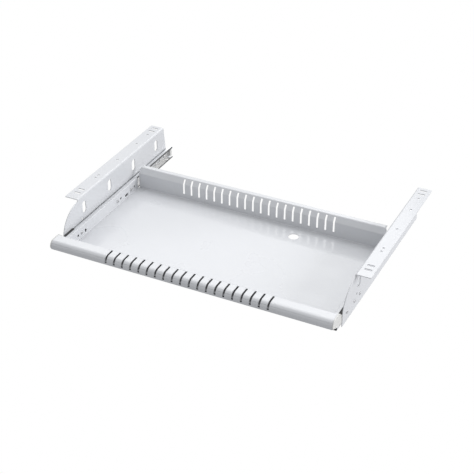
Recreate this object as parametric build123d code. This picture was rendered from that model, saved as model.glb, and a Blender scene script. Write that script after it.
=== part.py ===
"""Under-desk drawer: a pressed steel tray on ball slides between two hanging brackets.

Millimetres.  X runs left to right, Y front to back, Z up.
The origin is the centre of the four desk slots, on the underside of the desk,
so the bracket flanges lie just under Z = 0 and the tray hangs below them.
Right-hand pieces are modelled at +X and mirrored for the left.
"""
from build123d import *
import math
import os

# ---------------------------------------------------------------- driving dimensions
# Desk fixing
desk_slot_spacing_y = 323.0     # front desk slots to rear desk slots
desk_slot_width = 5.5
desk_slot_length = 16.0         # across the flange
spare_slot_pitch = 15.0         # each desk slot to the spare slot beside it

# Bracket sheet
bracket_sheet = 1.5
flange_width = 30.0             # outer face of the web to the edge of the flange
flange_front_margin = 24.0      # flange end to the first desk slot
flange_rear_margin = 11.0
flange_corner_r = 2.0
bracket_bend_r = 2.0            # inside radius
web_height = 82.0               # desk to the bottom edge of the web
web_front_reach = 59.0          # web ahead of the flange, along the bottom
web_rear_reach = 10.0
web_front_straight = 27.0       # upright stretch of the front edge
web_curve_along = 0.66          # middle of the curved edge, as shares of its length and height
web_curve_down = 0.36
web_window_width = 13.0
web_window_height = 27.0
web_window_pitch = 100.0
web_window_count = 4
web_window_first = 21.0         # flange front to the first window
web_window_drop = 28.0          # desk to the middle of the windows
pilot_hole_d = 5.0
pilot_hole_y = (-91.5, -79.5, -2.5, 79.5, 128.5)    # along the flange
web_pilot_y = -173.5
web_pilot_above_slide = 2.5

# Tray sheet
tray_sheet = 1.0
floor_width = 582.0             # between the side walls
tray_depth = 322.0              # front of the lip to the back wall
tray_drop = 78.0                # desk to the top of the floor
side_flange_gap = 0.5           # top of the slides to the side walls' turned-out edge
side_flange_reach = 6.0         # turned-out edge past each side wall
tray_bend_r = 1.5               # inside radius
tray_flange_r = 0.5             # inside radius of the turned-out edges
corner_gap = 3.0                # open corners between the folded walls
lip_ahead = 47.0                # lip in front of the webs
lip_depth = 30.0
lip_height = 37.0
lip_face_height = 18.5          # top of the lip to the bottom of its rolled edge
lip_past_slide = 2.0            # end of the lip outside the back of the slide
lip_top_r = 12.0                # rounded nose
lip_hem_depth = 5.0             # rolled edge along the bottom of the front face
lip_hem_height = 4.0
lip_hem_r = 2.2
lip_crease_drop = 5.0
lip_crease_width = 0.9
lip_crease_reach = 2.6          # crease bottom, behind the front of the lip
back_upright = 35.0             # height of the upright part of the back wall
back_height = 47.0
back_lean = 7.5                 # how far the upper part leans back
back_return = 9.0
back_corner_r = 6.0
vent_count = 20
vent_pitch = 18.5
vent_width = 4.2
lip_vent_bottom = 23.0          # above the floor
lip_vent_rear_gap = 1.5         # vent to the inside face of the lip
back_vent_bottom = 11.5
back_vent_top = 45.0
cable_hole_d = 22.0
cable_hole_x = 102.0
cable_hole_from_back = 36.0

# Ball slides
slide_height = 27.0
slide_thickness = 10.0
slide_centre_above_floor = 10.0
rail_standoff = 2.5             # outer rail to the bracket web
outer_rail_length = 450.0
outer_rail_sheet = 1.2
outer_rail_edge = 2.7           # depth of the turned-in edges
inner_rail_sheet = 1.0
inner_rail_hook = 1.4           # turned edge past the balls' track
inner_rail_margin = 4.0         # inner rail short of the lip and of the back wall
cage_length = 320.0
cage_sheet = 0.6
cage_rear_gap = 12.0
slide_front_gap = 2.0           # lip to outer rail
buffer_gap = 0.3                # lip to buffer when shut
ball_d = 3.8
ball_clearance = 0.15
balls_per_row = 12
cage_window_length = 12.0
cage_window_height = 6.0
cage_window_pitch = 20.0

# Fasteners, all measured back from the front end of the outer rail
rivet_y = (37.0, 75.0, 103.0, 268.0, 336.0, 404.0)
rivet_above_centre = 6.5        # rivets above the slide's centre line
rivet_d = 4.0
rivet_head_d = 7.0
rivet_head_t = 1.2
rivet_bore_d = 2.6
rivet_bore_depth = 3.0
rivet_collar_d = 9.0            # spacer between rail and web
tray_screw_y = (59.0, 201.0, 258.0)
tray_screw_d = 4.0
tray_screw_head_d = 7.5
tray_screw_head_t = 2.0
hole_clearance = 0.2            # radial, round fasteners in sheet
wall_hole_y = (46.0, 215.0, 272.0)
wall_hole_d = 5.5
wall_slot_y = 239.0
wall_slot_length = 13.0
wall_slot_width = 5.5
wall_slot_above_floor = 6.0

# Release lever in the inner rail
lever_pivot_y = 89.0
lever_pin_d = 3.0
lever_pin_clearance = 0.06      # radial
lever_boss_d = 9.0
lever_thickness = 2.3
lever_reach = 16.0              # pivot to finger peg
lever_tail = 14.0
lever_arm_width = 4.6
lever_peg_d = 3.0
lever_peg_stand = 2.0           # peg past the tray wall
lever_turn = 16.0               # degrees
lever_slot_clearance = 0.4

# End caps and stops
cap_thickness = 2.0
cap_rim = 0.6                   # cap edge proud of the lip
cap_edge_r = 0.7
cap_chin_drop = 16.0            # top of the lip to the corner of the chin
cap_chin_r = 5.5
cap_foot_height = 8.0           # bottom of the cap above the floor
cap_heel_reach = 14.5           # heel of the cap behind the lip
cap_heel_height = 16.0
cap_heel_top_r = 10.0
cap_heel_foot_r = 3.0
cap_dish_rim = 2.2
cap_dish_depth = 0.5
cap_plug_depth = 8.0
cap_plug_clearance = 0.25
cap_plug_wall = 2.0
strip_length = 46.0             # buffer's strip along the top of the outer rail
strip_thickness = 1.7
strip_hook = 2.0                # strip's edge down the back of the rail
strip_side_gap = 0.6            # to the side wall's turned-out edge
strip_web_gap = 1.0
stop_length = 7.0

# ---------------------------------------------------------------- derived places
floor_z = -tray_drop
slide_z = floor_z + slide_centre_above_floor
wall_in_x = floor_width / 2
wall_out_x = wall_in_x + tray_sheet
slide_back_x = wall_out_x + slide_thickness         # back of the outer rail
web_in_x = slide_back_x + rail_standoff
web_out_x = web_in_x + bracket_sheet
flange_edge_x = web_out_x + flange_width
desk_slot_x = web_out_x + flange_width / 2
lip_end_x = slide_back_x + lip_past_slide
side_flange_edge_x = wall_out_x + side_flange_reach
side_flange_z = slide_z + slide_height / 2 + side_flange_gap
rivet_z = slide_z + rivet_above_centre

flange_front_y = -desk_slot_spacing_y / 2 - flange_front_margin
flange_rear_y = desk_slot_spacing_y / 2 + flange_rear_margin
web_front_y = flange_front_y - web_front_reach
web_rear_y = flange_rear_y + web_rear_reach
lip_front_y = web_front_y - lip_ahead
lip_rear_y = lip_front_y + lip_depth
back_y = lip_front_y + tray_depth
rail_front_y = lip_rear_y + slide_front_gap
rail_rear_y = rail_front_y + outer_rail_length
inner_front_y = lip_rear_y + inner_rail_margin
inner_rear_y = back_y - inner_rail_margin
cage_rear_y = rail_rear_y - cage_rear_gap
cage_front_y = cage_rear_y - cage_length
lever_y = rail_front_y + lever_pivot_y

# Slide section: u is the depth from the back of the outer rail towards the tray,
# v the height from the slide's centre line.
race_half = slide_height / 2 - outer_rail_sheet             # inside of the outer rail
ball_v = race_half - ball_clearance - ball_d / 2
inner_half = ball_v - ball_d / 2 - ball_clearance           # outside of the inner rail
rail_lip_u = 8.8                                            # open edge of the outer rail
ball_u = rail_lip_u - outer_rail_sheet - 0.1 - ball_d / 2
hook_u = ball_u - ball_d / 2 - 0.1                          # inner rail's turned edge
cage_back_u = outer_rail_sheet + 0.3
lever_u = slide_thickness - inner_rail_sheet - 0.3          # tray side of the lever


# ---------------------------------------------------------------- helpers
def box(x0, x1, y0, y1, z0, z1):
    """A block between two corners."""
    return Pos((x0 + x1) / 2, (y0 + y1) / 2, (z0 + z1) / 2) * Box(abs(x1 - x0), abs(y1 - y0), abs(z1 - z0))


def rod_x(x0, x1, y, z, d):
    """A round bar along X."""
    return Pos((x0 + x1) / 2, y, z) * Rot(0, 90, 0) * Cylinder(d / 2, abs(x1 - x0))


def along_y(points, y0, y1, radii=None):
    """Extrude a closed XZ outline from y0 to y1, with chosen corners rounded."""
    plane = Plane(origin=(0, y0, 0), x_dir=(1, 0, 0), z_dir=(0, -1, 0))
    return extrude(plane * outline(points, radii), amount=-(y1 - y0))


def along_x(points, x0, x1, radii=None):
    """Extrude a closed YZ outline from x0 to x1, with chosen corners rounded."""
    plane = Plane(origin=(x0, 0, 0), x_dir=(0, 1, 0), z_dir=(1, 0, 0))
    return extrude(plane * outline(points, radii), amount=x1 - x0)


def outline(points, radii=None):
    """A closed face through points; radii maps a point's index to its corner radius."""
    face = make_face(Polyline(*points, close=True))
    for index, radius in (radii or {}).items():
        corner = face.vertices().sort_by_distance(Vector(*points[index]))[0]
        face = fillet(corner, radius)
    return face


def folded_strip(points, radii, x_half, side):
    """Sheet folded along an open YZ path, on one side of it."""
    path = FilletPolyline(*points, radius=radii)
    section = make_face(offset(path, amount=tray_sheet, side=side).edges())
    plane = Plane(origin=(-x_half, 0, 0), x_dir=(0, 1, 0), z_dir=(1, 0, 0))
    return extrude(plane * section, amount=2 * x_half)


def slide_section(u, v):
    """Slide section coordinates to X and Z on the right-hand side."""
    return (slide_back_x - u, slide_z + v)


def both_sides(name, right):
    """Write a right-hand piece and its mirror image."""
    return {f"right_{name}": right, f"left_{name}": mirror(right, about=Plane.YZ)}


def vent_positions():
    """X of each slot centre, in one row symmetric about the middle."""
    first = -vent_pitch * (vent_count - 1) / 2
    return [first + i * vent_pitch for i in range(vent_count)]


def wall_cutters(x0, x1):
    """Holes that pass through the tray wall and the inner rail together."""
    cuts = []
    for y in wall_hole_y:
        cuts.append(rod_x(x0, x1, rail_front_y + y, slide_z, wall_hole_d))
    for y in tray_screw_y:
        cuts.append(rod_x(x0, x1, rail_front_y + y, slide_z, tray_screw_d + 2 * hole_clearance))
    plane = Plane(origin=(x0, 0, 0), x_dir=(0, 1, 0), z_dir=(1, 0, 0))
    slot_at = Pos(rail_front_y + wall_slot_y, floor_z + wall_slot_above_floor)
    slot = slot_at * SlotOverall(wall_slot_length, wall_slot_width)
    cuts.append(extrude(plane * slot, amount=x1 - x0))
    peg_slot = SlotArc(
        CenterArc((lever_y, slide_z), lever_reach, 180 - lever_slot_clearance,
                  lever_turn + 2 * lever_slot_clearance),
        lever_peg_d + 2 * lever_slot_clearance,
    )
    cuts.append(extrude(plane * peg_slot, amount=x1 - x0))
    return cuts


# ---------------------------------------------------------------- brackets
def make_bracket():
    """Folded sheet: a flange under the desk and a deep web that carries the slide."""
    bend_out_r = bracket_bend_r + bracket_sheet
    fold_z = -bend_out_r - 1.0
    flange = along_y(
        [
            (web_in_x, fold_z),
            (web_in_x, 0),
            (flange_edge_x, 0),
            (flange_edge_x, -bracket_sheet),
            (web_out_x, -bracket_sheet),
            (web_out_x, fold_z),
        ],
        flange_front_y,
        flange_rear_y,
        {1: bend_out_r, 4: bracket_bend_r},
    )
    corners = flange.edges().filter_by(Axis.Z).group_by(Axis.X)[-1]
    flange = fillet(corners, flange_corner_r)

    straight_top = -web_height + web_front_straight
    bulge = (flange_front_y - web_curve_along * web_front_reach, web_curve_down * straight_top)
    edge = [
        ThreePointArc((flange_front_y, fold_z), bulge, (web_front_y, straight_top)),
        Polyline(
            (web_front_y, straight_top),
            (web_front_y, -web_height),
            (web_rear_y, -web_height),
            (flange_rear_y, fold_z),
            (flange_front_y, fold_z),
        ),
    ]
    plane = Plane(origin=(web_in_x, 0, 0), x_dir=(0, 1, 0), z_dir=(1, 0, 0))
    web = extrude(plane * make_face(edge), amount=bracket_sheet)
    bracket = flange + web

    for y in (-desk_slot_spacing_y / 2, desk_slot_spacing_y / 2):
        spare = y - math.copysign(spare_slot_pitch, y)
        for slot_y in (y, spare):
            slot = extrude(SlotOverall(desk_slot_length, desk_slot_width), amount=4 * bracket_sheet, both=True)
            bracket -= Pos(desk_slot_x, slot_y, 0) * slot
    for y in pilot_hole_y:
        bracket -= Pos(desk_slot_x, y, 0) * Cylinder(pilot_hole_d / 2, 6 * bracket_sheet)
    window = extrude(
        SlotOverall(web_window_height, web_window_width, rotation=90),
        amount=4 * bracket_sheet,
        both=True,
    )
    for i in range(web_window_count):
        y = flange_front_y + web_window_first + i * web_window_pitch
        at = Plane(origin=(web_in_x, y, -web_window_drop), x_dir=(0, 1, 0), z_dir=(1, 0, 0))
        bracket -= at * window
    pilot_z = slide_z + slide_height / 2 + web_pilot_above_slide
    bracket -= rod_x(web_in_x - 1, web_out_x + 1, web_pilot_y, pilot_z, pilot_hole_d)
    for y in rivet_y:
        bracket -= rod_x(web_in_x - 1, web_out_x + 1, rail_front_y + y, rivet_z,
                         rivet_d + 2 * hole_clearance)
    return bracket


# ---------------------------------------------------------------- ball slides
def outer_rail_outline():
    """C section with turned-in edges, open towards the tray."""
    top = slide_height / 2
    inner_u = rail_lip_u - outer_rail_sheet
    edge_v = top - outer_rail_edge
    half = [(0, top), (rail_lip_u, top), (rail_lip_u, edge_v), (inner_u, edge_v), (inner_u, race_half),
            (outer_rail_sheet, race_half)]
    lower = [(u, -v) for u, v in reversed(half)]
    return [slide_section(u, v) for u, v in half + lower]


def make_outer_rail():
    """Fixed rail, riveted to the bracket web."""
    rounds = {0: 1.0, 1: 1.0, 10: 1.0, 11: 1.0}
    rail = along_y(outer_rail_outline(), rail_front_y, rail_rear_y, rounds)
    for y in rivet_y:
        rail -= rod_x(slide_back_x + 1, slide_back_x - outer_rail_sheet - 1, rail_front_y + y, rivet_z,
                      rivet_d + 2 * hole_clearance)
    return rail


def make_inner_rail():
    """Moving rail, screwed to the tray wall; its turned edges run inside the balls."""
    web_u = slide_thickness - inner_rail_sheet
    hook_v = inner_half + inner_rail_hook
    hook_back_u = hook_u - inner_rail_sheet
    half = [(slide_thickness, inner_half), (hook_u, inner_half), (hook_u, hook_v), (hook_back_u, hook_v),
            (hook_back_u, inner_half - inner_rail_sheet), (web_u, inner_half - inner_rail_sheet)]
    lower = [(u, -v) for u, v in reversed(half)]
    section = [slide_section(u, v) for u, v in half + lower]
    rail = along_y(section, inner_front_y, inner_rear_y, {0: 0.8, 11: 0.8})
    for cut in wall_cutters(wall_out_x - 1, wall_out_x + 2 * inner_rail_sheet):
        rail -= cut
    return rail


def ball_positions():
    """(Y, V) of every ball centre in one slide."""
    span = cage_length - 20.0
    step = span / (balls_per_row - 1)
    start = cage_front_y + (cage_length - span) / 2
    return [(start + i * step, side * ball_v) for i in range(balls_per_row) for side in (-1, 1)]


def make_cage():
    """Ball retainer: a thin channel with a hole for each ball."""
    arm_u = rail_lip_u - 0.5
    top, under = ball_v + cage_sheet / 2, ball_v - cage_sheet / 2
    front_u = cage_back_u + cage_sheet
    half = [(cage_back_u, top), (arm_u, top), (arm_u, under), (front_u, under)]
    lower = [(u, -v) for u, v in reversed(half)]
    section = [slide_section(u, v) for u, v in half + lower]
    cage = along_y(section, cage_front_y, cage_rear_y)
    for y, v in ball_positions():
        hole = Cylinder(ball_d / 2 + ball_clearance, 4 * cage_sheet)
        cage -= Pos(slide_back_x - ball_u, y, slide_z + v) * hole
    count = int((cage_length - cage_window_length) // cage_window_pitch)
    for i in range(count):
        y = cage_front_y + cage_window_length + i * cage_window_pitch
        cage -= box(slide_back_x - front_u - 1, slide_back_x - cage_back_u + 0.2, y, y + cage_window_length,
                    slide_z - cage_window_height / 2, slide_z + cage_window_height / 2)
    return cage


def make_balls():
    """Steel balls of one slide."""
    x = slide_back_x - ball_u
    return Compound([Pos(x, y, slide_z + v) * Sphere(ball_d / 2) for y, v in ball_positions()])


def make_rivets():
    """Hollow-ended rivets through web, spacer collar and outer rail, domed outside and flush inside."""
    rivets = []
    for from_front in rivet_y:
        y = rail_front_y + from_front
        shank = rod_x(slide_back_x - outer_rail_sheet, web_out_x + rivet_head_t, y, rivet_z, rivet_d)
        head = rod_x(web_out_x, web_out_x + rivet_head_t, y, rivet_z, rivet_head_d)
        rim = head.edges().filter_by(GeomType.CIRCLE).sort_by(Axis.X)[-1]
        collar = rod_x(slide_back_x, web_in_x, y, rivet_z, rivet_collar_d)
        rivet = shank + collar + fillet(rim, 0.7 * rivet_head_t)
        end_x = web_out_x + rivet_head_t
        rivets.append(rivet - rod_x(end_x - rivet_bore_depth, end_x + 1, y, rivet_z, rivet_bore_d))
    return Compound(rivets)


def make_tray_screws():
    """Pan-head screws from inside the tray into the inner rail."""
    screws = []
    tip_x = wall_out_x + inner_rail_sheet + 0.8
    for from_front in tray_screw_y:
        y = rail_front_y + from_front
        shank = rod_x(wall_in_x, tip_x, y, slide_z, tray_screw_d)
        head = rod_x(wall_in_x - tray_screw_head_t, wall_in_x, y, slide_z, tray_screw_head_d)
        rim = head.edges().filter_by(GeomType.CIRCLE).sort_by(Axis.X)[0]
        head = fillet(rim, 0.5 * tray_screw_head_t)
        recess_x0 = wall_in_x - tray_screw_head_t - 1
        recess_x1 = wall_in_x - 0.4 * tray_screw_head_t
        arm = 0.28 * tray_screw_head_d
        head -= box(recess_x0, recess_x1, y - arm, y + arm, slide_z - 0.4, slide_z + 0.4)
        head -= box(recess_x0, recess_x1, y - 0.4, y + 0.4, slide_z - arm, slide_z + arm)
        screws.append(shank + head)
    return Compound(screws)


# ---------------------------------------------------------------- release lever
def make_lever():
    """Plastic lever in the inner rail: finger peg in front of the pivot, catch behind it."""
    outer_x = slide_back_x - lever_u
    inner_x = outer_x + lever_thickness
    half = lever_arm_width / 2
    front_arm = along_x(
        [
            (lever_y, slide_z - half),
            (lever_y, slide_z + half),
            (lever_y - lever_reach, slide_z + half),
            (lever_y - lever_reach, slide_z - half),
        ],
        outer_x,
        inner_x,
    )
    tail = along_x(
        [
            (lever_y, slide_z - half),
            (lever_y, slide_z + half),
            (lever_y + lever_tail, slide_z + 0.5),
            (lever_y + lever_tail, slide_z - half - 1.2),
            (lever_y + lever_tail - 3, slide_z - half),
        ],
        outer_x,
        inner_x,
    )
    lever = front_arm + tail + rod_x(outer_x, inner_x, lever_y, slide_z, lever_boss_d)
    lever += rod_x(outer_x, inner_x, lever_y - lever_reach, slide_z, lever_arm_width)
    lever += rod_x(wall_in_x - lever_peg_stand, inner_x, lever_y - lever_reach, slide_z, lever_peg_d)
    bore_d = lever_pin_d + 2 * lever_pin_clearance
    lever -= rod_x(outer_x - 1, inner_x + 1, lever_y, slide_z, bore_d)
    return lever


def make_lever_pin():
    """Rivet that carries the lever on the inner rail."""
    lever_back_x = slide_back_x - lever_u + lever_thickness
    head_x = lever_back_x + 0.2
    pin = rod_x(wall_out_x + inner_rail_sheet, head_x, lever_y, slide_z, lever_pin_d)
    return pin + rod_x(head_x, head_x + 0.8, lever_y, slide_z, 1.8 * lever_pin_d)


# ---------------------------------------------------------------- tray
def make_lip():
    """Front wall, folded forward and down into a grip that is open underneath."""
    top_z = floor_z + lip_height
    hem_z = top_z - lip_face_height
    path = [
        (lip_rear_y + 5 * tray_bend_r, floor_z),
        (lip_rear_y, floor_z),
        (lip_rear_y, top_z),
        (lip_front_y, top_z),
        (lip_front_y, hem_z),
        (lip_front_y + lip_hem_depth, hem_z),
        (lip_front_y + lip_hem_depth, hem_z + lip_hem_height),
    ]
    bends = [tray_bend_r, tray_bend_r + tray_sheet, lip_top_r, lip_hem_r, lip_hem_r]
    lip = folded_strip(path, bends, lip_end_x, Side.RIGHT)
    for side in (-1, 1):
        lip -= box(side * (wall_in_x - tray_bend_r), side * (lip_end_x + 1), lip_rear_y - 2 * tray_sheet,
                   lip_rear_y + 6 * tray_bend_r, floor_z - 2 * tray_sheet, floor_z + cap_foot_height)
    crease_z = top_z - lip_crease_drop
    lip -= box(-lip_end_x - 1, lip_end_x + 1, lip_front_y - 1, lip_front_y + lip_crease_reach,
               crease_z - lip_crease_width / 2, crease_z + lip_crease_width / 2)
    half = vent_width / 2
    for x in vent_positions():
        lip -= box(x - half, x + half, lip_front_y - 1, lip_rear_y - tray_sheet - lip_vent_rear_gap,
                   floor_z + lip_vent_bottom, top_z + 1)
    return lip


def make_floor_and_sides():
    """Floor with both side walls folded up and turned out over the slides."""
    top = side_flange_z + tray_sheet
    under = floor_z - tray_sheet
    outer_r = tray_bend_r + tray_sheet
    half = [(wall_out_x, under), (wall_out_x, side_flange_z), (side_flange_edge_x, side_flange_z),
            (side_flange_edge_x, top), (wall_in_x, top), (wall_in_x, floor_z)]
    other = [(-x, z) for x, z in reversed(half)]
    rounds = {0: outer_r, 1: tray_flange_r, 4: tray_flange_r + tray_sheet, 5: tray_bend_r,
              6: tray_bend_r, 7: tray_flange_r + tray_sheet, 10: tray_flange_r, 11: outer_r}
    pan = along_y(half + other, lip_rear_y - tray_sheet / 2, back_y, rounds)
    for side in (-1, 1):
        clear_x = side * (wall_in_x - tray_bend_r)
        end_x = side * (side_flange_edge_x + 1)
        pan -= box(clear_x, end_x, lip_rear_y - 2, lip_rear_y + corner_gap, under - 1, top + 1)
        pan -= box(clear_x, end_x, back_y - corner_gap, back_y + 1, under - 1, top + 1)
    return pan


def make_back_wall():
    """Back wall folded up from the floor, its upper part leaning back to a return."""
    under = floor_z - tray_sheet
    out_y = back_y + tray_sheet
    half = wall_in_x - corner_gap
    path = [
        (back_y - 5 * tray_bend_r, under),
        (out_y, under),
        (out_y, floor_z + back_upright),
        (out_y + back_lean, floor_z + back_height),
        (out_y + back_lean + back_return, floor_z + back_height),
    ]
    wall = folded_strip(path, [tray_bend_r + tray_sheet] * 3, half, Side.LEFT)
    for x in vent_positions():
        wall -= box(x - vent_width / 2, x + vent_width / 2, back_y - 1, out_y + back_lean + 1,
                    floor_z + back_vent_bottom, floor_z + back_vent_top)
    top = floor_z + back_height + tray_sheet
    for side in (-1, 1):
        end_x = side * half
        square = box(end_x, end_x - side * back_corner_r, back_y, out_y + back_lean + back_return + 1,
                     top - back_corner_r, top + 1)
        centre = Pos(end_x - side * back_corner_r, out_y + back_lean, top - back_corner_r)
        wall -= square - centre * Rot(90, 0, 0) * Cylinder(back_corner_r, 4 * (back_lean + back_return))
    return wall


def make_tray():
    """The whole pan, one folded sheet."""
    tray = make_floor_and_sides() + make_back_wall() + make_lip()
    tray -= Pos(cable_hole_x, back_y - cable_hole_from_back, floor_z) * Cylinder(cable_hole_d / 2, 6 * tray_sheet)
    for cut in wall_cutters(wall_in_x - 1, wall_out_x + 1):
        tray -= cut
        tray -= mirror(cut, about=Plane.YZ)
    return tray


# ---------------------------------------------------------------- end caps and stops
def make_end_cap():
    """Moulded cap on the end of the lip: a dished plate with a heel, and a hollow plug."""
    top_z = floor_z + lip_height
    foot_z = floor_z + cap_foot_height
    front = [(lip_rear_y, top_z), (lip_front_y, top_z), (lip_front_y, top_z - cap_chin_drop)]
    rounds = {0: tray_bend_r + tray_sheet, 1: lip_top_r, 2: cap_chin_r}
    section = outline([*front, (lip_rear_y, foot_z)], rounds)
    heel_y = lip_rear_y + cap_heel_reach
    heel = [(lip_rear_y, foot_z), (heel_y, foot_z), (heel_y, foot_z + cap_heel_height)]
    shape = outline([*front, *heel], {**rounds, 4: cap_heel_foot_r, 5: cap_heel_top_r})
    plate_plane = Plane(origin=(lip_end_x, 0, 0), x_dir=(0, 1, 0), z_dir=(1, 0, 0))
    plate = extrude(plate_plane * offset(shape, amount=cap_rim), amount=cap_thickness)
    plate = fillet(plate.faces().sort_by(Axis.X)[-1].edges(), cap_edge_r)
    dish_x = lip_end_x + cap_thickness - cap_dish_depth
    dish_plane = Plane(origin=(dish_x, 0, 0), x_dir=(0, 1, 0), z_dir=(1, 0, 0))
    plate -= extrude(dish_plane * offset(shape, amount=cap_rim - cap_dish_rim), amount=cap_thickness)
    plug_out = offset(section, amount=-(tray_sheet + cap_plug_clearance))
    plug_in = offset(section, amount=-(tray_sheet + cap_plug_clearance + cap_plug_wall))
    plug_plane = Plane(origin=(lip_end_x - cap_plug_depth, 0, 0), x_dir=(0, 1, 0), z_dir=(1, 0, 0))
    plug = extrude(plug_plane * plug_out, amount=cap_plug_depth)
    plug -= extrude(plug_plane * plug_in, amount=cap_plug_depth)
    hem_top = top_z - lip_face_height + lip_hem_height + cap_plug_clearance
    plug -= box(lip_end_x - cap_plug_depth - 1, lip_end_x, lip_front_y, lip_rear_y, foot_z - 1, hem_top)
    return plate + plug


def make_front_buffer():
    """Soft buffer on the front end of the outer rail, with a strip hooked over the rail's top."""
    rounds = {0: 1.0, 1: 1.0, 10: 1.0, 11: 1.0}
    pad = along_y(outer_rail_outline(), lip_rear_y + buffer_gap, rail_front_y, rounds)
    rail_top = slide_z + slide_height / 2
    strip_in_x = side_flange_edge_x + strip_side_gap
    strip_out_x = web_in_x - strip_web_gap
    strip = along_y(
        [
            (strip_in_x, rail_top),
            (strip_in_x, rail_top + strip_thickness),
            (strip_out_x, rail_top + strip_thickness),
            (strip_out_x, rail_top - strip_hook),
            (slide_back_x, rail_top - strip_hook),
            (slide_back_x, rail_top),
        ],
        lip_rear_y + buffer_gap,
        rail_front_y + strip_length,
        {2: 0.5},
    )
    rail_corner = along_y(outer_rail_outline(), lip_rear_y, rail_front_y + strip_length, rounds)
    return pad + (strip - rail_corner)


def make_rear_stop():
    """Rubber stop inside the rear end of the outer rail."""
    x0 = slide_back_x - outer_rail_sheet
    stop = box(x0, slide_back_x - slide_thickness * 0.7, rail_rear_y - 1 - stop_length, rail_rear_y - 1,
               slide_z - 0.6 * race_half, slide_z + 0.6 * race_half)
    return fillet(stop.edges().filter_by(Axis.X), 1.5)


# ---------------------------------------------------------------- write the nodes
nodes = {"tray_pan": make_tray()}
nodes.update(both_sides("bracket", make_bracket()))
nodes.update(both_sides("outer_rail", make_outer_rail()))
nodes.update(both_sides("inner_rail", make_inner_rail()))
nodes.update(both_sides("ball_cage", make_cage()))
nodes.update(both_sides("balls", make_balls()))
nodes.update(both_sides("rail_rivets", make_rivets()))
nodes.update(both_sides("tray_screws", make_tray_screws()))
nodes.update(both_sides("release_lever", make_lever()))
nodes.update(both_sides("lever_pin", make_lever_pin()))
nodes.update(both_sides("end_cap", make_end_cap()))
nodes.update(both_sides("front_buffer", make_front_buffer()))
nodes.update(both_sides("rear_stop", make_rear_stop()))

os.makedirs("parts", exist_ok=True)
for name, shape in nodes.items():
    export_step(shape, f"parts/{name}.step")
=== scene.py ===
import math

import bmesh
import bpy
from mathutils import Matrix, Vector


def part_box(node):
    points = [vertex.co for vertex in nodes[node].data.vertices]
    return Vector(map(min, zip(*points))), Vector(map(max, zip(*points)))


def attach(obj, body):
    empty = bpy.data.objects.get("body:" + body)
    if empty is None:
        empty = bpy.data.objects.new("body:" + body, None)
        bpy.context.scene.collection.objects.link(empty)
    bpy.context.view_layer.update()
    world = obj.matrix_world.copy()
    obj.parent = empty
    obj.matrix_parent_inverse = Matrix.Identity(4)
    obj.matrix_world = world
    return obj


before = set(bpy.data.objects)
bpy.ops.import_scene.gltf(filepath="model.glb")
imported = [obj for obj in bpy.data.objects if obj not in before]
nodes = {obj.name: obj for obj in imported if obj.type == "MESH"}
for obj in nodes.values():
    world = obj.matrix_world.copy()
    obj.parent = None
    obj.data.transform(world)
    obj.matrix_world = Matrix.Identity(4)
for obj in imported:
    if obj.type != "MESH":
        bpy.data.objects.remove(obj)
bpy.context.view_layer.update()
print("frame loaded:", len(nodes), "nodes")


def feed(tree, socket, value):  # another node's socket is linked, a plain value is set
    if isinstance(value, bpy.types.NodeSocket):
        tree.links.new(value, socket)
    else:
        socket.default_value = value


def addNode(tree, kind, **values):  # values name the node's settings or its inputs
    node = tree.nodes.new(kind)
    for name, value in values.items():
        if name in node.inputs:
            feed(tree, node.inputs[name], value)
        else:
            setattr(node, name, value)
    return node


def calculate(tree, operation, first, second, **settings):
    node = addNode(tree, "ShaderNodeMath", operation=operation, **settings)
    feed(tree, node.inputs[0], first)
    feed(tree, node.inputs[1], second)
    return node.outputs[0]


def calculateVector(tree, operation, first, second=(0.0, 0.0, 0.0)):
    node = addNode(tree, "ShaderNodeVectorMath", operation=operation)
    feed(tree, node.inputs[0], first)
    feed(tree, node.inputs[1], second)
    return node.outputs


def newGroup(name, inputs, outputs):
    group = bpy.data.node_groups.new(name, "ShaderNodeTree")
    for label, kind, value in inputs:
        socket = group.interface.new_socket(label, in_out="INPUT", socket_type=kind)
        socket.default_value = value
    for label, kind in outputs:
        group.interface.new_socket(label, in_out="OUTPUT", socket_type=kind)
    given = group.nodes.new("NodeGroupInput")
    result = group.nodes.new("NodeGroupOutput")
    return group, given.outputs, result.inputs


grainNoise = {
    "fineDetail": 3.0, "fineRoughness": 0.55,
    "cloudDetail": 4.0, "cloudRoughness": 0.5,
    "speckDetail": 1.0, "speckFineness": 2.7,  # specks are finer than the grain by this much
}


def makeSurfaceGrain():
    group, given, result = newGroup(
        "surfaceGrain",
        [("Grain Scale", "NodeSocketFloat", 900.0), ("Cloud Scale", "NodeSocketFloat", 9.0),
         ("Stretch", "NodeSocketVector", (1.0, 1.0, 1.0))],
        [("Height", "NodeSocketFloat"), ("Cloud", "NodeSocketFloat"), ("Speck", "NodeSocketFloat")],
    )
    place = addNode(group, "ShaderNodeTexCoord").outputs["Object"]
    stretched = calculateVector(group, "MULTIPLY", place, given["Stretch"])[0]
    fine = addNode(group, "ShaderNodeTexNoise", Vector=stretched, Scale=given["Grain Scale"],
                   Detail=grainNoise["fineDetail"], Roughness=grainNoise["fineRoughness"])
    clouds = addNode(group, "ShaderNodeTexNoise", Vector=stretched, Scale=given["Cloud Scale"],
                     Detail=grainNoise["cloudDetail"], Roughness=grainNoise["cloudRoughness"])
    speckScale = calculate(group, "MULTIPLY", given["Grain Scale"], grainNoise["speckFineness"])
    speck = addNode(group, "ShaderNodeTexNoise", Vector=stretched, Scale=speckScale,
                    Detail=grainNoise["speckDetail"])
    feed(group, result["Height"], fine.outputs["Fac"])
    feed(group, result["Cloud"], clouds.outputs["Fac"])
    feed(group, result["Speck"], speck.outputs["Fac"])
    return group


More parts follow.
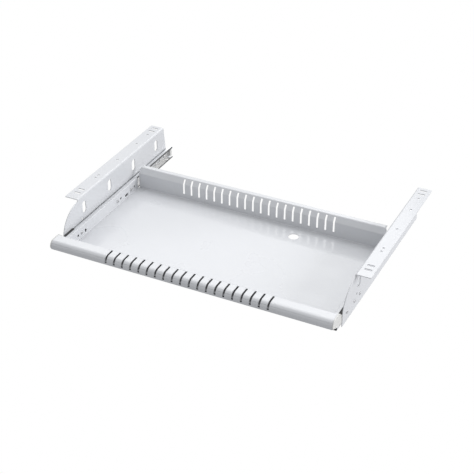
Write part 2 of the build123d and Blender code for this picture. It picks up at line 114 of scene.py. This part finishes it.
def makeSoftEdge():  # rounds sharp edges in the shading and says where they are
    group, given, result = newGroup(
        "softEdge",
        [("Radius", "NodeSocketFloat", 0.0005), ("Sharpness", "NodeSocketFloat", 4.0)],
        [("Normal", "NodeSocketVector"), ("Edge", "NodeSocketFloat")],
    )
    rounded = addNode(group, "ShaderNodeBevel", samples=4, Radius=given["Radius"]).outputs[0]
    flat = addNode(group, "ShaderNodeNewGeometry").outputs["Normal"]
    alike = calculateVector(group, "DOT_PRODUCT", rounded, flat)["Value"]
    turned = calculate(group, "SUBTRACT", 1.0, alike)
    feed(group, result["Normal"], rounded)
    feed(group, result["Edge"], calculate(group, "MULTIPLY", turned, given["Sharpness"], use_clamp=True))
    return group


def makeFoldShadeMask():  # finds the inner face of the lip, which is bent round an axis along X, for painted shade there
    group, given, result = newGroup(
        "insideFold",
        [("Bend Centre", "NodeSocketVector", (0.0, 0.0, 0.0)), ("Bend Reach", "NodeSocketFloat", 0.01),
         ("Back", "NodeSocketFloat", 0.0), ("Fade Low", "NodeSocketFloat", 0.0),
         ("Fade High", "NodeSocketFloat", 0.0)],
        [("Mask", "NodeSocketFloat")],
    )
    place = addNode(group, "ShaderNodeTexCoord").outputs["Object"]
    away = calculateVector(group, "SUBTRACT", place, given["Bend Centre"])[0]
    forwardAndUp = calculateVector(group, "MULTIPLY", away, (0.0, -1.0, 1.0))[0]
    ahead = calculateVector(group, "MAXIMUM", forwardAndUp)[0]  # nothing counts behind or below the centre
    distance = calculateVector(group, "LENGTH", ahead)["Value"]
    within = calculate(group, "LESS_THAN", distance, given["Bend Reach"])
    parts = addNode(group, "ShaderNodeSeparateXYZ", Vector=place).outputs
    inFront = calculate(group, "LESS_THAN", parts["Y"], given["Back"])
    fade = addNode(group, "ShaderNodeMapRange", Value=parts["Z"],
                   **{"From Min": given["Fade Low"], "From Max": given["Fade High"]})
    inside = calculate(group, "MULTIPLY", within, inFront)
    feed(group, result["Mask"], calculate(group, "MULTIPLY", inside, fade.outputs["Result"]))
    return group


def makeTraySide():  # finds what lies nearer the middle of the drawer than a limit
    group, given, result = newGroup(
        "traySide", [("Limit", "NodeSocketFloat", 0.1)], [("Mask", "NodeSocketFloat")],
    )
    place = addNode(group, "ShaderNodeTexCoord").outputs["Object"]
    parts = addNode(group, "ShaderNodeSeparateXYZ", Vector=place).outputs
    across = calculate(group, "ABSOLUTE", parts["X"], 0.0)
    feed(group, result["Mask"], calculate(group, "LESS_THAN", across, given["Limit"]))
    return group


surfaceGrain = makeSurfaceGrain()
softEdge = makeSoftEdge()
traySide = makeTraySide()
insideFold = makeFoldShadeMask()


def placeGroup(tree, group, **values):
    return addNode(tree, "ShaderNodeGroup", node_tree=group, **values).outputs


def mixColour(tree, factor, first, second):
    node = addNode(tree, "ShaderNodeMix", data_type="RGBA", Factor=factor)
    for socket, value in ((node.inputs[6], first), (node.inputs[7], second)):  # its two colour inputs
        feed(tree, socket, (*value, 1.0) if isinstance(value, tuple) else value)
    return node.outputs[2]  # its colour output


def spread(tree, value, fromRange, toRange):
    node = addNode(tree, "ShaderNodeMapRange", interpolation_type="SMOOTHSTEP", Value=value)
    for name, number in zip(("From Min", "From Max", "To Min", "To Max"), (*fromRange, *toRange)):
        node.inputs[name].default_value = number
    return node.outputs["Result"]


noiseRange = {"cloud": (0.2, 0.8), "speck": (0.35, 0.65)}  # the part of each noise that is used


def finishMaterial(name, look):
    material = bpy.data.materials.new(name)
    material.use_nodes = True
    tree = material.node_tree
    shader = tree.nodes["Principled BSDF"].inputs
    shader["Metallic"].default_value = look.get("metallic", 0.0)
    shader["Coat Weight"].default_value = look.get("coat", 0.0)
    shader["Coat Roughness"].default_value = look.get("coatRoughness", 0.2)
    grain = placeGroup(tree, surfaceGrain, **{
        "Grain Scale": look["grainScale"], "Cloud Scale": look["cloudScale"],
        "Stretch": look.get("stretch", (1.0, 1.0, 1.0)),
    })
    edges = placeGroup(tree, softEdge, Radius=look["edgeRadius"])
    cloudy = spread(tree, grain["Cloud"], noiseRange["cloud"], (0.0, 1.0))
    colour = mixColour(tree, cloudy, look["colour"], look["cloudColour"])
    specked = spread(tree, grain["Speck"], noiseRange["speck"], (0.0, look["speckAmount"]))
    colour = mixColour(tree, specked, colour, look["speckColour"])
    # painted highlight: sharp edges are coloured lighter, as if catching the light
    edgeHighlight = calculate(tree, "MULTIPLY", edges["Edge"], look["edgeHighlightAmount"])
    colour = mixColour(tree, edgeHighlight, colour, look["edgeHighlightColour"])
    # painted shade: the inside of the lip's fold is coloured near black, where it lies in shadow
    if "fold" in look:
        shadeInFold = placeGroup(tree, insideFold, **look["fold"])["Mask"]
        colour = mixColour(tree, calculate(tree, "MULTIPLY", shadeInFold, look["foldShadeAmount"]), colour,
                           look["foldShadeColour"])
    # painted shade on the rail's edges nearest the tray
    if "railShadeLimit" in look:
        railShade = placeGroup(tree, traySide, Limit=look["railShadeLimit"])["Mask"]
        colour = mixColour(tree, calculate(tree, "MULTIPLY", railShade, look["railShadeAmount"]), colour,
                           look["railShadeColour"])
    feed(tree, shader["Base Color"], colour)
    feed(tree, shader["Roughness"], spread(tree, grain["Cloud"], noiseRange["cloud"], look["roughness"]))
    bump = addNode(tree, "ShaderNodeBump", Strength=1.0, Distance=look["grainDepth"],
                   Height=grain["Height"], Normal=edges["Normal"])
    feed(tree, shader["Normal"], bump.outputs["Normal"])
    return material


def paint(nodeNames, material):
    for name in nodeNames:
        for slot in nodes[name].material_slots:
            slot.material = material


def bothSides(*names):
    return [f"{side}_{name}" for name in names for side in ("left", "right")]


powderCoat = {
    "colour": (0.61, 0.62, 0.645), "cloudColour": (0.63, 0.64, 0.662), "speckColour": (0.50, 0.51, 0.53),
    "speckAmount": 0.18, "edgeHighlightColour": (0.74, 0.75, 0.76), "edgeHighlightAmount": 0.4,
    "grainScale": 850.0, "cloudScale": 7.0, "grainDepth": 0.00002, "edgeRadius": 0.0006,
    "roughness": (0.27, 0.29), "coat": 0.45, "coatRoughness": 0.1,
}
# the tray's powder coat, with painted shade near black inside the lip's fold
trayCoatAndFoldShade = dict(
    powderCoat,
    fold={
        "Bend Centre": (0.0, -0.2795, -0.053), "Bend Reach": 0.01106,  # just past the bend's inner radius
        "Back": -0.26245,  # just past the inner face of the lip's rear wall
        "Fade Low": -0.077, "Fade High": -0.068,  # none near the floor, full from 10 mm above it
    },
    foldShadeAmount=0.93, foldShadeColour=(0.02, 0.02, 0.022),
)
zincSteel = {
    "colour": (0.84, 0.85, 0.86), "cloudColour": (0.76, 0.77, 0.79), "speckColour": (0.60, 0.60, 0.61),
    "speckAmount": 0.2, "edgeHighlightColour": (0.92, 0.92, 0.93), "edgeHighlightAmount": 0.5,
    "grainScale": 500.0, "cloudScale": 45.0, "grainDepth": 0.00003, "edgeRadius": 0.0003,
    "stretch": (1.0, 0.06, 1.0), "roughness": (0.34, 0.5), "metallic": 0.85,  # drawn out along the rail
}
zincRailPaintedShade = dict(  # painted shade: dark on its two edges on the tray's side, where the slide lies in shadow
    zincSteel, railShadeLimit=0.29505, railShadeAmount=0.85, railShadeColour=(0.05, 0.05, 0.05),
)
stampedSteel = dict(
    zincSteel, colour=(0.80, 0.80, 0.80), cloudColour=(0.72, 0.72, 0.71), stretch=(1.0, 1.0, 1.0),
)
rivetSteel = dict(
    stampedSteel, colour=(0.62, 0.62, 0.63), cloudColour=(0.55, 0.55, 0.56), grainScale=1500.0,
)
ballSteel = dict(stampedSteel, roughness=(0.08, 0.16), grainDepth=0.000005)
whitePlastic = {
    "colour": (0.60, 0.60, 0.59), "cloudColour": (0.63, 0.63, 0.62), "speckColour": (0.54, 0.54, 0.53),
    "speckAmount": 0.15, "edgeHighlightColour": (0.82, 0.82, 0.81), "edgeHighlightAmount": 0.3,
    "grainScale": 2600.0, "cloudScale": 30.0, "grainDepth": 0.00003, "edgeRadius": 0.0004,
    "roughness": (0.38, 0.48),
}
darkPlastic = {
    "colour": (0.030, 0.030, 0.032), "cloudColour": (0.036, 0.036, 0.038), "speckColour": (0.05, 0.05, 0.05),
    "speckAmount": 0.3, "edgeHighlightColour": (0.10, 0.10, 0.10), "edgeHighlightAmount": 0.5,
    "grainScale": 2400.0, "cloudScale": 60.0, "grainDepth": 0.00002, "edgeRadius": 0.0002,
    "roughness": (0.4, 0.55),
}
darkRubber = dict(darkPlastic, colour=(0.045, 0.045, 0.045), roughness=(0.65, 0.8), grainScale=1800.0)

paint(bothSides("bracket"), finishMaterial("powderCoat", powderCoat))
paint(["tray_pan"], finishMaterial("trayCoatAndFoldShade", trayCoatAndFoldShade))
paint(bothSides("outer_rail"), finishMaterial("zincRailPaintedShade", zincRailPaintedShade))
paint(bothSides("inner_rail"), finishMaterial("zincSteel", zincSteel))
cageMaterial = finishMaterial("stampedSteel", stampedSteel)
paint(bothSides("ball_cage"), cageMaterial)
paint(bothSides("rail_rivets", "tray_screws", "lever_pin"), finishMaterial("rivetSteel", rivetSteel))
paint(bothSides("balls"), finishMaterial("ballSteel", ballSteel))
paint(bothSides("end_cap", "rear_stop"), finishMaterial("whitePlastic", whitePlastic))
paint(bothSides("release_lever"), finishMaterial("darkPlastic", darkPlastic))
paint(bothSides("front_buffer"), finishMaterial("darkRubber", darkRubber))
print("finishes done")


cageDimples = {
    "radius": 0.0024, "rise": 0.00065,  # a flattened ball through the sheet of the cage
    "fromMiddle": 0.30005, "height": -0.068,
    "first": -0.1135, "pitch": 0.02, "count": 15,  # the row runs along Y
    "segments": 24, "rings": 12,
}


def addCageDimples(side, direction):
    name = f"{side}CageDimples"
    shapes = bmesh.new()
    flatten = Matrix.Diagonal((cageDimples["rise"], cageDimples["radius"], cageDimples["radius"], 1.0))
    for index in range(cageDimples["count"]):
        along = cageDimples["first"] + index * cageDimples["pitch"]
        centre = Matrix.Translation((direction * cageDimples["fromMiddle"], along, cageDimples["height"]))
        bmesh.ops.create_uvsphere(shapes, u_segments=cageDimples["segments"], v_segments=cageDimples["rings"],
                                  radius=1.0, matrix=centre @ flatten)
    for face in shapes.faces:
        face.smooth = True
    mesh = bpy.data.meshes.new(name)
    shapes.to_mesh(mesh)
    shapes.free()
    mesh.materials.append(cageMaterial)
    piece = bpy.data.objects.new(name, mesh)
    bpy.context.scene.collection.objects.link(piece)
    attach(piece, f"{side}_cage")


addCageDimples("left", -1)
addCageDimples("right", 1)
print("cage dimples done")


softboxes = {
    "aim": (0.0, 0.0, 0.0),
    "topPower": 42.0, "topSize": 2.6, "topPlace": (-0.9, 1.2, 2.3),
    "sidePower": 64.0, "sideSize": 1.2, "sidePlace": (2.8, 0.8, 1.05),
}


def addSoftbox(position):
    name = f"{position}Softbox"
    lamp = bpy.data.lights.new(name, "AREA")
    lamp.shape = "SQUARE"
    lamp.size = softboxes[f"{position}Size"]
    lamp.energy = softboxes[f"{position}Power"]
    holder = bpy.data.objects.new(name, lamp)
    holder.location = softboxes[f"{position}Place"]
    towards = Vector(softboxes["aim"]) - Vector(softboxes[f"{position}Place"])
    holder.rotation_euler = towards.to_track_quat("-Z", "Y").to_euler()
    bpy.context.scene.collection.objects.link(holder)


floorSheet = {
    "drop": 0.35,  # the drawer hangs this far above it
    "size": 30.0,
    "colour": (0.42, 0.42, 0.43), "roughness": 0.9, "gloss": 0.1,
    "glow": 1.0,  # what the camera sees of it, while its colour lights the drawer
}


def floorMaterial():
    material = bpy.data.materials.new("floorPaper")
    material.use_nodes = True
    tree = material.node_tree
    shader = tree.nodes["Principled BSDF"]
    shader.inputs["Base Color"].default_value = (*floorSheet["colour"], 1.0)
    shader.inputs["Roughness"].default_value = floorSheet["roughness"]
    shader.inputs["Specular IOR Level"].default_value = floorSheet["gloss"]
    glow = addNode(tree, "ShaderNodeEmission", Strength=floorSheet["glow"])
    rays = addNode(tree, "ShaderNodeLightPath")
    shown = addNode(tree, "ShaderNodeMixShader")
    feed(tree, shown.inputs[0], rays.outputs["Is Camera Ray"])
    feed(tree, shown.inputs[1], shader.outputs[0])
    feed(tree, shown.inputs[2], glow.outputs[0])
    feed(tree, tree.nodes["Material Output"].inputs["Surface"], shown.outputs[0])
    return material


def addFloor():
    height = min(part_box(name)[0].z for name in nodes) - floorSheet["drop"]
    mesh = bpy.data.meshes.new("floor")
    sheet = bmesh.new()
    bmesh.ops.create_grid(sheet, x_segments=1, y_segments=1, size=floorSheet["size"] / 2)
    bmesh.ops.translate(sheet, verts=sheet.verts, vec=(0.0, 0.0, height))
    sheet.to_mesh(mesh)
    sheet.free()
    mesh.materials.append(floorMaterial())
    floor = bpy.data.objects.new("floor", mesh)
    bpy.context.scene.collection.objects.link(floor)


sky = {"colour": (0.98, 0.99, 1.0), "strength": 0.7}


def addSky():
    world = bpy.data.worlds.new("sky")
    world.use_nodes = True
    background = world.node_tree.nodes["Background"]
    background.inputs["Color"].default_value = (*sky["colour"], 1.0)
    background.inputs["Strength"].default_value = sky["strength"]
    bpy.context.scene.world = world
    bpy.context.scene.view_settings.view_transform = "Standard"


view = {
    "place": (0.8827, -1.8516, 1.1993), "tilt": 57.43, "turn": 26.28,  # degrees about X, then Z
    "lens": 86.87, "sensorWidth": 36.0,
}


def addCamera():
    camera = bpy.data.cameras.new("camera")
    camera.lens = view["lens"]
    camera.sensor_width = view["sensorWidth"]
    holder = bpy.data.objects.new("camera", camera)
    holder.location = view["place"]
    holder.rotation_euler = (math.radians(view["tilt"]), 0.0, math.radians(view["turn"]))
    bpy.context.scene.collection.objects.link(holder)
    bpy.context.scene.camera = holder


addFloor()
addSoftbox("top")
addSoftbox("side")
addSky()
addCamera()
print("studio done")
